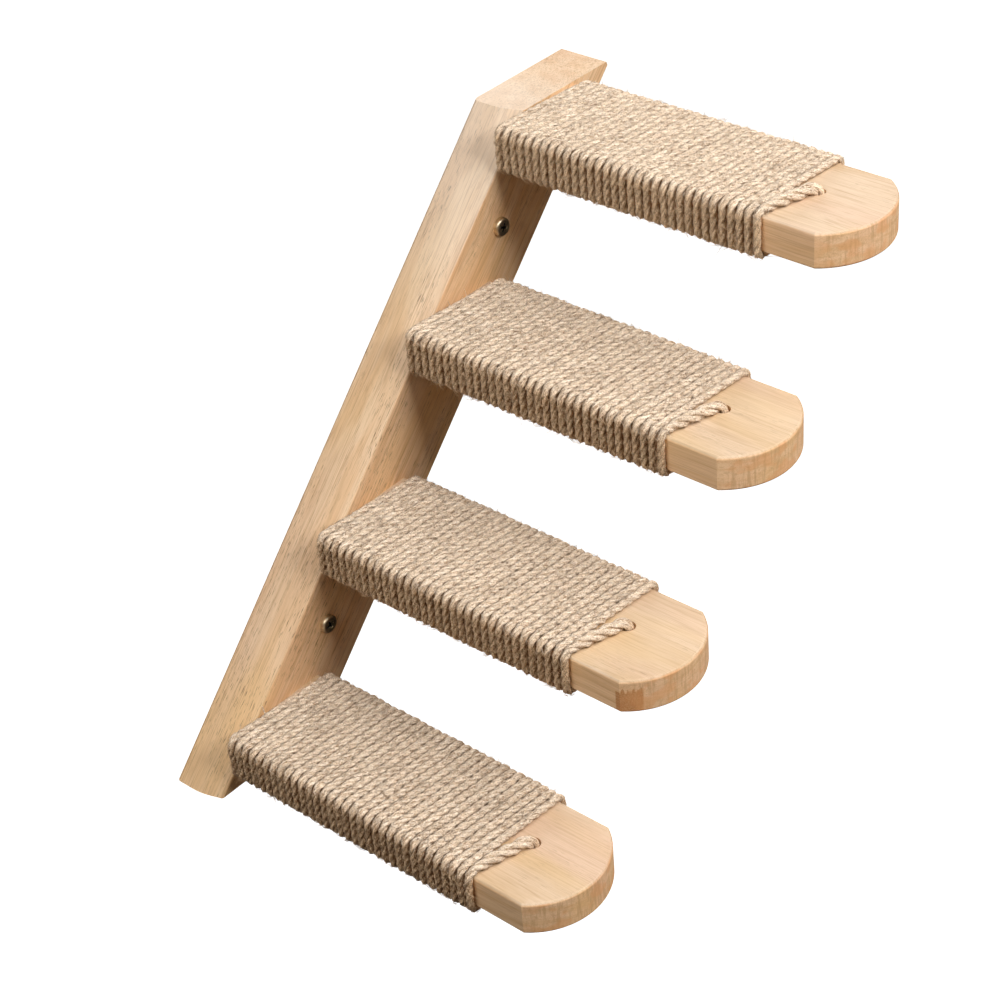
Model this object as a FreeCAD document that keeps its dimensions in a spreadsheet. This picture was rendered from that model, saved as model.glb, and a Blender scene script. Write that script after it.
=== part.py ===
import FreeCAD, Part
import math
import os
import re

import Sketcher
from FreeCAD import Placement, Rotation, Vector

# Wall mounted climbing ladder for a cat, in millimetres.
# A leaning back board is screwed flat to a wall and carries four level planks,
# each wound with jute rope from the board almost to its curved tip.
# The wall is the plane y = 0 and the object stands out towards -Y.
# X runs to the right along the wall and Z is up.
# The origin is on the wall, halfway between the two wall screws.

SIZES = [
    # back board
    ("board_edge_length", 400, "leaning edge from the lower to the upper end"),
    ("board_lean_angle", 44, "lean from upright, to the right going up, in degrees"),
    ("board_face_width", 60, "square across the leaning face"),
    ("board_thickness", 32, "wall to front face"),
    ("board_corner_cut", 8, "sharp upper corner cut back along both of its sides"),
    ("board_side_fall", 3, "front face's long edges in from the board's sides"),
    ("board_side_fall_length", 13, "front part of the sides that falls away so"),
    ("board_side_rounding", 55, "radius where the sides begin to fall away"),
    ("board_front_rounding", 1.2, "radius of the front face's two long edges"),
    ("board_back_rounding", 3, "radius of the two long back edges"),
    # planks
    ("first_step_side", 16, "lowest plank's left side from the board's lower left corner"),
    ("first_step_underside", 13, "lowest plank's underside above the board's lower end"),
    ("last_step_margin", 2.25, "board's upper end above the highest plank"),
    ("step_width", 67.5, "plank width"),
    ("step_thickness", 20, "plank thickness"),
    ("step_reach", 220, "board's front face to the plank's tip"),
    ("step_tip_crown", 18.5, "how far the curved tip stands past its corners"),
    ("step_edge_rounding", 1.8, "radius of the plank's upper and lower edges"),
    # jute rope winding
    ("rope_thickness", 4, "rope as it lies flattened on the plank"),
    ("rope_lay_gap", 0.8, "between one lay of rope and the next"),
    ("rope_clearance", 0.25, "between the rope and the wood"),
    ("rope_end_margin", 48.5, "end of the winding to the plank's tip"),
    ("rope_hole_side", 36, "hole for the rope's end, from the plank's left side"),
    ("rope_hole_beyond", 7.5, "that hole past the end of the winding"),
    ("rope_hole_depth", 12, "depth of that blind hole"),
    ("rope_hole_clearance", 0.8, "hole wider than the rope, all round"),
    ("rope_tail_turn", 20, "radius in which the tail leaves the last lay"),
    ("rope_dive_turn", 4.5, "radius in which the tail dives into its hole"),
    # screws that hold the board to the wall
    ("wall_screw_line", 25, "screws from the board's left long edge, square to it"),
    ("wall_screw_head_radius", 5.3, "pan head"),
    ("wall_screw_head_height", 3, "pan head above the board"),
    ("wall_screw_head_rounding", 2.4, "radius of the head's front edge"),
    ("wall_screw_thread_radius", 2.5, "outside of the thread"),
    ("wall_screw_shank_radius", 1.9, "plain shank inside the board"),
    ("wall_screw_bite", 18, "length that enters the wall"),
    ("wall_screw_point", 5, "length of the tapered point"),
    ("wall_screw_tip_radius", 0.4, "blunt end of the point"),
    ("wall_screw_hole_clearance", 0.25, "hole in the board wider than the thread, all round"),
    ("recess_arm_length", 2.6, "cross recess, centre to the end of an arm"),
    ("recess_arm_width", 1.2, "width of an arm"),
    ("recess_depth", 1.9, "depth of the cross recess"),
    # screws that hold the planks, driven from behind the board
    ("step_screw_inset", 15.5, "screws from the sides of the plank that the board backs"),
    ("step_screw_head_radius", 4, "countersunk head, ninety degrees"),
    ("step_screw_rim", 0.4, "straight rim of the head"),
    ("step_screw_sink", 0.3, "head below the board's back face"),
    ("step_screw_thread_radius", 2.1, "outside of the thread"),
    ("step_screw_shank_radius", 1.6, "plain shank inside the board"),
    ("step_screw_bite", 28, "length that enters the plank"),
    ("step_screw_point", 4, "length of the tapered point"),
    ("step_screw_tip_radius", 0.3, "blunt end of the point"),
    ("step_screw_clearance", 0.1, "screw to its holes, all round"),
    ("step_screw_hole_spare", 2, "pilot hole deeper than the screw"),
]

STEP_COUNT = 4
ROPE_LAY_COUNT = 24
ROPE_RUN_COUNT = 9
RUN_POINT_COUNT = 12
COUNTERSINK_ANGLE = 90
# the wall screws sit midway between the first two planks and between the last two
STEP_NUMBERS = range(STEP_COUNT)
WALL_SCREW_NEIGHBOURS = {"wall_screw_lower": STEP_NUMBERS[:2], "wall_screw_upper": STEP_NUMBERS[-2:]}

# places and sizes that follow from the named ones, as sums that the features share
BOARD_END_WIDTH = "board_face_width / cos(board_lean_angle)"
BOARD_RUN = "board_edge_length * sin(board_lean_angle)"
BOARD_HEIGHT = "board_edge_length * cos(board_lean_angle)"
STEP_RISE = f"(({BOARD_HEIGHT} - first_step_underside - step_thickness - last_step_margin)"
STEP_RISE += f" / {STEP_COUNT - 1})"
STEP_SHOULDER = "(step_reach - step_tip_crown)"
TIP_RADIUS = "(step_width * step_width / 4 + step_tip_crown * step_tip_crown) / 2 / step_tip_crown"
WINDING_END = "(step_reach - rope_end_margin)"
LAY_WIDTH = f"(({WINDING_END} - rope_clearance - {ROPE_LAY_COUNT - 1} * rope_lay_gap)"
LAY_WIDTH += f" / {ROPE_LAY_COUNT})"
STEP_HOLE_RADIUS = "step_screw_thread_radius + step_screw_clearance"
# the stretch of a plank that the board backs starts at the board's leaning edge
BACKED_FROM = "((first_step_underside + step_thickness / 2) * tan(board_lean_angle)"
BACKED_FROM += " - first_step_side)"
STEP_SCREW_SIDES = {
    "left": f"({BACKED_FROM} + step_screw_inset)",
    "right": "(step_width - step_screw_inset)",
}

doc = FreeCAD.newDocument("cat_climbing_wall")
sheet = doc.addObject("Spreadsheet::Sheet", "Sizes")


def fill_sheet():
    """Write every driving size in the sheet as a plain number with a name."""
    for row, (name, value, note) in enumerate(SIZES, start=1):
        sheet.set(f"A{row}", note)
        sheet.set(f"B{row}", str(value))
        sheet.setAlias(f"B{row}", name)
    doc.recompute()


def formula(text):
    """Turn the size names in a sum into references to the sheet."""
    names = {name for name, value, note in SIZES}
    return re.sub(r"[a-z_]+", lambda m: f"Sizes.{m[0]}" if m[0] in names else m[0], text)


def number(text):
    """Work out a sum of named sizes."""
    return float(sheet.evalExpression(formula(text)))


def bind(target, **sums):
    """Tie properties of an object to sums of named sizes."""
    for name, text in sums.items():
        target.setExpression(name.replace("__", "."), formula(text))


def step_corner(pitches):
    """Lower left corner of a plank, so many pitches up, from the board's corner."""
    across = f"(first_step_side + {pitches} * {STEP_RISE} * tan(board_lean_angle))"
    up = f"(first_step_underside + {pitches} * {STEP_RISE})"
    return across, up


def wall_screw_place(pitches):
    """Point on the wall screws' line that is level with a plank's middle, on the lean."""
    across, up = step_corner(pitches)
    along = f"(({across} + step_width / 2) * sin(board_lean_angle)"
    along += f" + ({up} + step_thickness / 2) * cos(board_lean_angle))"
    screw_across = f"({along} * sin(board_lean_angle) + wall_screw_line * cos(board_lean_angle))"
    screw_up = f"({along} * cos(board_lean_angle) - wall_screw_line * sin(board_lean_angle))"
    return screw_across, screw_up


def halfway(steps):
    """Place between some planks, in pitches from the lowest plank."""
    return sum(steps) / len(steps)


ORIGIN = wall_screw_place(halfway(STEP_NUMBERS))


def stand(piece, place, out="0"):
    """Put a sub-part at a place measured from the board's corner."""
    bind(
        piece,
        Placement__Base__x=f"{place[0]} - {ORIGIN[0]}",
        Placement__Base__y=f"0 - {out}",
        Placement__Base__z=f"{place[1]} - {ORIGIN[1]}",
    )


def new_body(name):
    """Make an empty body whose label is the sub-part's name."""
    body = doc.addObject("PartDesign::Body", name)
    body.Label = name
    return body


def new_sketch(body, name, role, lift="0"):
    """Put a sketch on one of the body's own origin planes, or lifted off it."""
    plane = next(each for each in body.Origin.OriginFeatures if each.Role == role)
    sketch = body.newObject("Sketcher::SketchObject", f"{body.Name}_{name}")
    sketch.AttachmentSupport = [(plane, "")]
    sketch.MapMode = "FlatFace"
    bind(sketch, AttachmentOffset__Base__z=lift)
    return sketch


def pin(sketch, geometry, end, place):
    """Hold one point of a sketch at two sums of named sizes."""
    for kind, text in zip(("DistanceX", "DistanceY"), place):
        held = Sketcher.Constraint(kind, -1, 1, geometry, end, number(text))
        index = sketch.addConstraint(held)
        sketch.setExpression(f"Constraints[{index}]", formula(text))


def hold_radius(sketch, geometry, text):
    """Hold the radius of a circle or an arc at a sum of named sizes."""
    index = sketch.addConstraint(Sketcher.Constraint("Radius", geometry, number(text)))
    sketch.setExpression(f"Constraints[{index}]", formula(text))


def point_at(place):
    """Point of a sketch that stands at two sums of named sizes."""
    return Vector(number(place[0]), number(place[1]), 0)


def draw_sides(sketch, corners):
    """Draw a closed outline of straight sides through pinned corners."""
    points = [point_at(corner) for corner in corners]
    for i, point in enumerate(points):
        sketch.addGeometry(Part.LineSegment(point, points[(i + 1) % len(points)]), False)
    for i, corner in enumerate(corners):
        meeting = Sketcher.Constraint("Coincident", i, 2, (i + 1) % len(corners), 1)
        sketch.addConstraint(meeting)
        pin(sketch, i, 1, corner)


def draw_circles(sketch, radius, places):
    """Draw circles of one radius round pinned centres."""
    for place in places:
        circle = Part.Circle(point_at(place), Vector(0, 0, 1), number(radius))
        index = sketch.addGeometry(circle, False)
        hold_radius(sketch, index, radius)
        pin(sketch, index, 3, place)


def pad(body, sketch, length):
    """Grow a sketch into a solid along its normal."""
    feature = body.newObject("PartDesign::Pad", f"{sketch.Name}_pad")
    feature.Profile = sketch
    bind(feature, Length=length)
    doc.recompute()
    return feature


def pocket(body, sketch, depth, with_normal):
    """Cut a sketch into the solid and make sure that it cut something."""
    before = body.Shape.Volume
    feature = body.newObject("PartDesign::Pocket", f"{sketch.Name}_cut")
    feature.Profile = sketch
    feature.Reversed = with_normal
    bind(feature, Length=depth)
    doc.recompute()
    must_be_less(feature, before)
    return feature


def must_be_less(feature, before):
    """Stop if a cut took nothing away."""
    if not feature.Shape.Volume < before:
        raise RuntimeError(f"{feature.Name} cut nothing")


def rounding(body, base, radius, wanted):
    """Round those edges of a feature that the test picks out."""
    names = [f"Edge{i}" for i, edge in enumerate(base.Shape.Edges, start=1) if wanted(edge)]
    if not names:
        raise RuntimeError(f"{base.Name} has no edge for {radius}")
    feature = body.newObject("PartDesign::Fillet", f"{body.Name}_{radius}")
    feature.Base = (base, names)
    bind(feature, Radius=radius)
    doc.recompute()
    return feature


def turned(body, profile):
    """Turn a half outline of radius and depth about the body's Y axis."""
    sketch = new_sketch(body, "profile", "XY_Plane")
    draw_sides(sketch, profile)
    feature = body.newObject("PartDesign::Revolution", f"{body.Name}_turned")
    feature.Profile = sketch
    feature.ReferenceAxis = (sketch, ["V_Axis"])
    feature.Angle = 360
    doc.recompute()
    return feature


def fall_away(body, base, wanted):
    """Let one side of the board fall away towards the front, as a wide bevel."""
    names = [f"Edge{i}" for i, edge in enumerate(base.Shape.Edges, start=1) if wanted(edge)]
    feature = body.newObject("PartDesign::Chamfer", f"{base.Name}_fall")
    feature.Base = (base, names)
    feature.ChamferType = "Two distances"
    bind(feature, Size="board_side_fall", Size2="board_side_fall_length")
    doc.recompute()
    deep = number("board_side_fall_length - board_thickness")
    near = number("board_thickness / 1000")
    if not any(abs(corner.Y - deep) < near for corner in feature.Shape.Vertexes):
        feature.FlipDirection = True
        doc.recompute()
    return feature


def back_board():
    """Leaning board with level ends, eased long edges and its screw holes."""
    body = new_body("back_board")
    outline = new_sketch(body, "outline", "XZ_Plane")
    corners = [
        ("0", "0"),
        (BOARD_END_WIDTH, "0"),
        (
            f"{BOARD_END_WIDTH} + {BOARD_RUN} - board_corner_cut * sin(board_lean_angle)",
            f"{BOARD_HEIGHT} - board_corner_cut * cos(board_lean_angle)",
        ),
        (f"{BOARD_END_WIDTH} + {BOARD_RUN} - board_corner_cut", BOARD_HEIGHT),
        (BOARD_RUN, BOARD_HEIGHT),
    ]
    draw_sides(outline, corners)
    shaped = pad(body, outline, "board_thickness")
    near = number("board_thickness / 1000")
    half_height = number(f"{BOARD_HEIGHT} / 2")

    def long_edge(depth, left=True, right=True):
        middle = number(f"({BOARD_END_WIDTH} + {BOARD_RUN}) / 2")

        def wanted(edge):
            ends = [vertex.Point for vertex in edge.Vertexes]
            side = left if edge.CenterOfMass.x < middle else right
            leans = abs(ends[0].z - ends[1].z) > half_height
            return side and leans and all(abs(end.y + depth) < near for end in ends)

        return wanted

    thickness = sheet.board_thickness
    shaped = fall_away(body, shaped, long_edge(thickness, right=False))
    shaped = fall_away(body, shaped, long_edge(thickness, left=False))
    begin = thickness - sheet.board_side_fall_length
    shaped = rounding(body, shaped, "board_side_rounding", long_edge(begin))
    shaped = rounding(body, shaped, "board_front_rounding", long_edge(thickness))
    rounding(body, shaped, "board_back_rounding", long_edge(0))

    wall_holes = new_sketch(body, "wall_screw_holes", "XZ_Plane")
    places = [wall_screw_place(halfway(steps)) for steps in WALL_SCREW_NEIGHBOURS.values()]
    hole_radius = "wall_screw_thread_radius + wall_screw_hole_clearance"
    draw_circles(wall_holes, hole_radius, places)
    pocket(body, wall_holes, "board_thickness", True)
    countersunk_holes(body)
    stand(body, ("0", "0"))
    return body


def countersunk_holes(body):
    """Clear the board for the screws that come from behind into the planks."""
    places = []
    for step in STEP_NUMBERS:
        across, up = step_corner(step)
        middle = f"{up} + step_thickness / 2"
        places += [(f"{across} + {side}", middle) for side in STEP_SCREW_SIDES.values()]
    sketch = new_sketch(body, "step_screw_holes", "XZ_Plane")
    draw_circles(sketch, STEP_HOLE_RADIUS, places)
    doc.recompute()
    before = body.Shape.Volume
    hole = body.newObject("PartDesign::Hole", f"{sketch.Name}_cut")
    hole.Profile = sketch
    hole.Reversed = True
    hole.DepthType = "Dimension"
    hole.DrillPoint = "Flat"
    hole.HoleCutType = "Countersink"
    hole.HoleCutCountersinkAngle = COUNTERSINK_ANGLE
    mouth = "step_screw_head_radius + step_screw_sink + step_screw_rim + step_screw_clearance"
    bind(
        hole,
        Diameter=f"2 * ({STEP_HOLE_RADIUS})",
        Depth="board_thickness",
        HoleCutDiameter=f"2 * ({mouth})",
    )
    doc.recompute()
    must_be_less(hole, before)


def step_plank(step):
    """Level plank with a curved tip, butted on the board's front face."""
    body = new_body(f"step_plank_{step + 1}")
    block = pad(body, plank_outline(body), "step_thickness")
    near = number("step_thickness / 1000")

    def rim(edge):
        ends = [vertex.Point for vertex in edge.Vertexes]
        level = abs(ends[0].z - ends[1].z) < near
        return level and any(abs(end.y) > near for end in ends)

    rounding(body, block, "step_edge_rounding", rim)
    pilots = new_sketch(body, "pilot_holes", "XZ_Plane")
    places = [(side, "step_thickness / 2") for side in STEP_SCREW_SIDES.values()]
    draw_circles(pilots, STEP_HOLE_RADIUS, places)
    pocket(body, pilots, "step_screw_bite + step_screw_hole_spare", True)
    rope_hole = new_sketch(body, "rope_hole", "XY_Plane", lift="step_thickness")
    place = ("rope_hole_side", f"0 - {WINDING_END} - rope_hole_beyond")
    draw_circles(rope_hole, f"{LAY_WIDTH} / 2 + rope_hole_clearance", [place])
    pocket(body, rope_hole, "rope_hole_depth", False)
    stand(body, step_corner(step), "board_thickness")
    return body


def plank_outline(body):
    """Plank seen from above: three straight sides and a curved tip."""
    sketch = new_sketch(body, "outline", "XY_Plane")
    wall_left = ("0", "0")
    wall_right = ("step_width", "0")
    tip_left = ("0", f"0 - {STEP_SHOULDER}")
    tip_right = ("step_width", f"0 - {STEP_SHOULDER}")
    tip = ("step_width / 2", "0 - step_reach")
    left, right = point_at(wall_left), point_at(wall_right)
    corner_left, corner_right = point_at(tip_left), point_at(tip_right)
    sketch.addGeometry(Part.LineSegment(right, left), False)
    sketch.addGeometry(Part.LineSegment(left, corner_left), False)
    sketch.addGeometry(Part.Arc(corner_left, point_at(tip), corner_right), False)
    sketch.addGeometry(Part.LineSegment(corner_right, right), False)
    for side, following in ((0, 1), (1, 2), (2, 3), (3, 0)):
        sketch.addConstraint(Sketcher.Constraint("Coincident", side, 2, following, 1))
    pin(sketch, 0, 1, wall_right)
    pin(sketch, 0, 2, wall_left)
    pin(sketch, 1, 2, tip_left)
    pin(sketch, 3, 1, tip_right)
    hold_radius(sketch, 2, TIP_RADIUS)
    return sketch


class RopePath:
    """Centre line of one winding, drawn run by run with smooth joints."""

    def __init__(self, start):
        self.at = start
        self.edges = []

    def run(self, end):
        """Go straight on."""
        self.edges.append(Part.LineSegment(self.at, end).toShape())
        self.at = end

    def bend(self, centre, end):
        """Go round a centre, the shorter way."""
        halfway = (self.at - centre) + (end - centre)
        middle = centre + halfway.normalize() * (end - centre).Length
        self.edges.append(Part.Arc(self.at, middle, end).toShape())
        self.at = end

    def sidestep(self, end):
        """Shift sideways in two equal arcs that start and end along X."""
        ahead = end.x - self.at.x
        aside = end.y - self.at.y
        radius = (ahead * ahead + aside * aside) / abs(aside) / 4
        to_centre = Vector(0, math.copysign(radius, aside), 0)
        middle = (self.at + end) / 2
        self.bend(self.at + to_centre, middle)
        self.bend(end - to_centre, end)


def rope_route():
    """Route of a rope round one plank, from the plank's lower left corner."""
    stand_off = number("rope_clearance + rope_thickness / 2")
    corner = sheet.step_edge_rounding + stand_off
    left, right = -stand_off, sheet.step_width + stand_off
    low, high = -stand_off, sheet.step_thickness + stand_off
    lay_width = number(LAY_WIDTH)
    pitch = lay_width + sheet.rope_lay_gap
    y = -sheet.rope_clearance - lay_width / 2
    path = RopePath(Vector(sheet.step_width / 2, y, low))
    for lay in range(ROPE_LAY_COUNT):
        path.run(Vector(left + corner, y, low))
        path.bend(Vector(left + corner, y, low + corner), Vector(left, y, low + corner))
        path.run(Vector(left, y, high - corner))
        path.bend(Vector(left + corner, y, high - corner), Vector(left + corner, y, high))
        if lay == ROPE_LAY_COUNT - 1:
            break
        y -= pitch
        path.sidestep(Vector(right - corner, y, high))
        path.bend(Vector(right - corner, y, high - corner), Vector(right, y, high - corner))
        path.run(Vector(right, y, low + corner))
        path.bend(Vector(right - corner, y, low + corner), Vector(right - corner, y, low))
    tuck_in_the_tail(path, high)
    return path.edges


def tuck_in_the_tail(path, high):
    """Turn away from the last lay, cross the top face and dive into the hole."""
    hole = Vector(sheet.rope_hole_side, -number(f"{WINDING_END} + rope_hole_beyond"), high)
    turn, dive = sheet.rope_tail_turn, sheet.rope_dive_turn
    centre = path.at - Vector(0, turn, 0)
    away = hole - centre
    heading = math.atan2(away.x, away.y) - math.acos(turn / away.Length)
    path.bend(centre, centre + Vector(math.sin(heading), math.cos(heading), 0) * turn)
    brink = hole - (hole - path.at).normalize() * dive
    below = Vector(0, 0, dive)
    floor = number("step_thickness - rope_hole_depth + rope_clearance")
    path.run(brink)
    path.bend(brink - below, hole - below)
    path.run(Vector(hole.x, hole.y, floor))


def least_rope_gap(edges):
    """Least gap between neighbouring turns, on points of the rope's centre line."""
    points = [point for edge in edges for point in edge.discretize(RUN_POINT_COUNT)[:-1]]
    turn = ROPE_RUN_COUNT * (RUN_POINT_COUNT - 1)
    nearest = math.inf
    for i, point in enumerate(points):
        for j in range(i + turn // 2, min(i + 3 * turn // 2, len(points) - 1)):
            away = point.distanceToLineSegment(points[j], points[j + 1])
            nearest = min(nearest, away.Length)
    return nearest - number(LAY_WIDTH)


def rope_solid():
    """Flattened rope as one unbroken tube along its route."""
    edges = rope_route()
    lay_width = number(LAY_WIDTH)
    section = Part.Ellipse(Vector(), lay_width / 2, sheet.rope_thickness / 2).toShape()
    facing = Rotation(Vector(0, 1, 0), Vector(0, 0, 1), Vector(1, 0, 0), "XYZ")
    section.Placement = Placement(edges[0].firstVertex().Point, facing)
    route = Part.Wire(edges)
    tube = route.makePipeShell([Part.Wire([section])], True, False)
    wanted = math.pi * lay_width * sheet.rope_thickness / 4 * route.Length
    if not math.isclose(tube.Volume, wanted, rel_tol=1 / 100):
        raise RuntimeError("the rope's volume does not match its section and length")
    print(f"rope of {ROPE_LAY_COUNT} lays, {route.Length:.0f} mm long")
    print(f"least gap between its turns {least_rope_gap(edges):.2f} mm")
    return tube


def rope_winding(step, tube):
    """Winding of one plank."""
    name = f"rope_winding_{step + 1}"
    winding = doc.addObject("Part::Feature", name)
    winding.Label = name
    winding.Shape = tube
    stand(winding, step_corner(step), "board_thickness")
    return winding


def cross(end, half):
    """Corners of a cross, three for each quarter turn."""
    quarter = [(end, half), (half, half), (half, end)]
    corners = []
    while len(corners) < 4 * len(quarter):
        corners += quarter
        quarter = [(f"0 - ({up})", across) for across, up in quarter]
    return corners


def wall_screw(name, pitches):
    """Pan head screw with its thread in the wall and its shank in the board."""
    body = new_body(name)
    head = "0 - board_thickness - wall_screw_head_height"
    profile = [
        ("0", head),
        ("wall_screw_head_radius", head),
        ("wall_screw_head_radius", "0 - board_thickness"),
        ("wall_screw_shank_radius", "0 - board_thickness"),
        ("wall_screw_shank_radius", "0"),
        ("wall_screw_thread_radius", "0"),
        ("wall_screw_thread_radius", "wall_screw_bite - wall_screw_point"),
        ("wall_screw_tip_radius", "wall_screw_bite"),
        ("0", "wall_screw_bite"),
    ]
    screw = turned(body, profile)
    near = number("wall_screw_head_height / 1000")

    def head_rim(edge):
        box = edge.BoundBox
        at_front = abs(box.YMin - number(head)) < near and box.YLength < near
        return at_front and box.XLength > sheet.wall_screw_head_radius

    rounding(body, screw, "wall_screw_head_rounding", head_rim)
    recess = new_sketch(body, "recess", "XZ_Plane", "board_thickness + wall_screw_head_height")
    draw_sides(recess, cross("recess_arm_length", "recess_arm_width / 2"))
    pocket(body, recess, "recess_depth", False)
    stand(body, wall_screw_place(pitches))
    return body


def step_screw(step, side):
    """Countersunk screw from the board's back into a plank."""
    body = new_body(f"step_screw_{step + 1}_{side}")
    rim = "step_screw_sink + step_screw_rim"
    cone = f"{rim} + step_screw_head_radius - step_screw_shank_radius"
    end = "board_thickness + step_screw_bite"
    profile = [
        ("0", "0 - step_screw_sink"),
        ("step_screw_head_radius", "0 - step_screw_sink"),
        ("step_screw_head_radius", f"0 - ({rim})"),
        ("step_screw_shank_radius", f"0 - ({cone})"),
        ("step_screw_shank_radius", "0 - board_thickness"),
        ("step_screw_thread_radius", "0 - board_thickness"),
        ("step_screw_thread_radius", f"step_screw_point - ({end})"),
        ("step_screw_tip_radius", f"0 - ({end})"),
        ("0", f"0 - ({end})"),
    ]
    turned(body, profile)
    across, up = step_corner(step)
    place = (f"{across} + {STEP_SCREW_SIDES[side]}", f"{up} + step_thickness / 2")
    stand(body, place)
    return body


def check_and_write(pieces):
    """Stop at anything that failed, then write one file for each sub-part."""
    doc.recompute()
    for each in doc.Objects:
        if "Invalid" in each.State or "Error" in each.State:
            raise RuntimeError(f"{each.Name} failed: {each.State}")
    for piece in pieces:
        shape = piece.Shape
        if shape.isNull() or not shape.isValid() or len(shape.Solids) != 1:
            raise RuntimeError(f"{piece.Label} is not one valid solid")
    os.makedirs("parts", exist_ok=True)
    for piece in pieces:
        piece.Shape.exportStep(f"parts/{piece.Label}.step")
        box = piece.Shape.BoundBox
        print(f"{piece.Label}: {piece.Shape.Volume:.0f} mm3, {box}")


def main():
    """Build the whole object."""
    fill_sheet()
    pieces = [back_board()]
    pieces += [step_plank(step) for step in STEP_NUMBERS]
    tube = rope_solid()
    pieces += [rope_winding(step, tube) for step in STEP_NUMBERS]
    for name, steps in WALL_SCREW_NEIGHBOURS.items():
        pieces.append(wall_screw(name, halfway(steps)))
    for step in STEP_NUMBERS:
        pieces += [step_screw(step, side) for side in STEP_SCREW_SIDES]
    check_and_write(pieces)


main()
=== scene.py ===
# %% [markdown]
# # A cat climbing wall of wood and jute rope
#
# A board leans across a wall and four level planks stand out from it. Each plank is wound
# with jute rope, and two screws hold the board to the wall. The packed model already has the
# right shape for the board and the planks, so they stay and only get their wood. The rope and
# the screws are plain there, so this file makes them again as they really are.

import math

import bpy
import numpy as np
from mathutils import Matrix, Vector


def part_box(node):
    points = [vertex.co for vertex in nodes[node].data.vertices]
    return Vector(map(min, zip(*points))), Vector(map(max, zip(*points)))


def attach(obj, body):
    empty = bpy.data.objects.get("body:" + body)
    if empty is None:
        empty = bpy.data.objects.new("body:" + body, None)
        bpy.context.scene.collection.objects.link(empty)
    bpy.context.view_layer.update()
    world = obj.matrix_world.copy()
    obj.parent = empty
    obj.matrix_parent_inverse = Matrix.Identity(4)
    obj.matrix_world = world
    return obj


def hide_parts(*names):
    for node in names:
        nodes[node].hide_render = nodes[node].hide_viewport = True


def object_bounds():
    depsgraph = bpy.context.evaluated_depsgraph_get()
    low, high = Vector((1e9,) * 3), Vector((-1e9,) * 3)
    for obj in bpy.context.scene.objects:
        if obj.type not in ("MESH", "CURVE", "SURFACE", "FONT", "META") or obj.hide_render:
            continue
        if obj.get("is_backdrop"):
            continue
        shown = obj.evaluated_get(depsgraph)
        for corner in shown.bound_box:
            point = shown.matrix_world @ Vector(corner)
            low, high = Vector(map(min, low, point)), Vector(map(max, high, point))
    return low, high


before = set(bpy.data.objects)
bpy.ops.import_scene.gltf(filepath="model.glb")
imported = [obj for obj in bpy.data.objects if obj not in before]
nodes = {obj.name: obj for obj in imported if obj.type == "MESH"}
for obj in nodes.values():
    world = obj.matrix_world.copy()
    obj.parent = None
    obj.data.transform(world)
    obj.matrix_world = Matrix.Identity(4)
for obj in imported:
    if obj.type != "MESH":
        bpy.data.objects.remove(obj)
solid_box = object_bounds()
print("pieces in the packed model:", len(nodes))

# %% [markdown]
# Woodworkers measure in millimetres and Blender measures in metres. One factor turns the
# first into the second, so most sizes of the object are written here as a ruler shows them.
#
# Blender's operators act on what is selected, so each job starts with nothing selected.

# %% Millimetres, and a clean selection
MM = 0.001
STEPS = (1, 2, 3, 4)


def select_nothing():
    """Goes back to object mode and leaves nothing selected."""
    if bpy.context.mode != "OBJECT":
        bpy.ops.object.mode_set(mode="OBJECT")
    bpy.ops.object.select_all(action="DESELECT")


select_nothing()
print("planks:", len(STEPS), "and things still selected:", len(bpy.context.selected_objects))

# %% [markdown]
# ## Camera
#
# The camera was found from the object's own edges: about eighty points of them were matched
# with the packed model. It stands to the left of the object, a little higher, and looks down
# at it. Its three axes are written out because that is exact, where angles would be rounded.

# %% Set up the camera
STANDPOINT = (-0.735198, -0.789906, 0.693741)
RIGHT = Vector((0.64961038, -0.75695075, -0.07093600))
FORWARD = Vector((0.59132498, 0.56169786, -0.57864522))
UP = RIGHT.cross(FORWARD)
FOCAL_LENGTH, SENSOR_WIDTH = 84.04, 36

camera = bpy.data.objects.new("camera", bpy.data.cameras.new("camera"))
bpy.context.scene.collection.objects.link(camera)
camera.data.lens = FOCAL_LENGTH
camera.data.sensor_width = SENSOR_WIDTH
camera_axes = Matrix((RIGHT, UP, -FORWARD)).transposed().to_4x4()
camera.matrix_world = Matrix.Translation(STANDPOINT) @ camera_axes
bpy.context.scene.camera = camera
print("camera stands", round(camera.location.length, 3), "m from the middle of the object")

# %% [markdown]
# ## Studio
#
# The object hangs in a white studio. The key lamp stands above and in front, and throws the
# planks' shadows straight down the board. A broad lamp shines from the upper right: each
# plank hides a part of it from the plank below, so the lower ropes grow darker towards their
# far edge. The side lamp from the upper left opens up the near sides. Two distant lights from
# behind and below show the faces that these lamps don't reach.
#
# White paper all round would throw much light back and wash out the shadows under the
# planks. So the paper floor and the white surroundings are only seen by the camera, and the
# little light that they would give comes from one very soft and warm light instead.


# %% Lamps and distant lights
def add_light(name, kind, towards, strength, softness, far=1.0, colour=(1.0, 1.0, 1.0)):
    """A light from a direction, as soft as its width in metres or, for a sun, in degrees."""
    light = bpy.data.lights.new(name, kind)
    light.energy = strength
    light.color = colour
    if kind == "SUN":
        light.angle = math.radians(softness)
    else:
        light.size = softness
    holder = bpy.data.objects.new(name, light)
    bpy.context.scene.collection.objects.link(holder)
    holder.location = Vector(towards) * far
    holder.rotation_euler = Vector(towards).to_track_quat("Z", "Y").to_euler()


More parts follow.
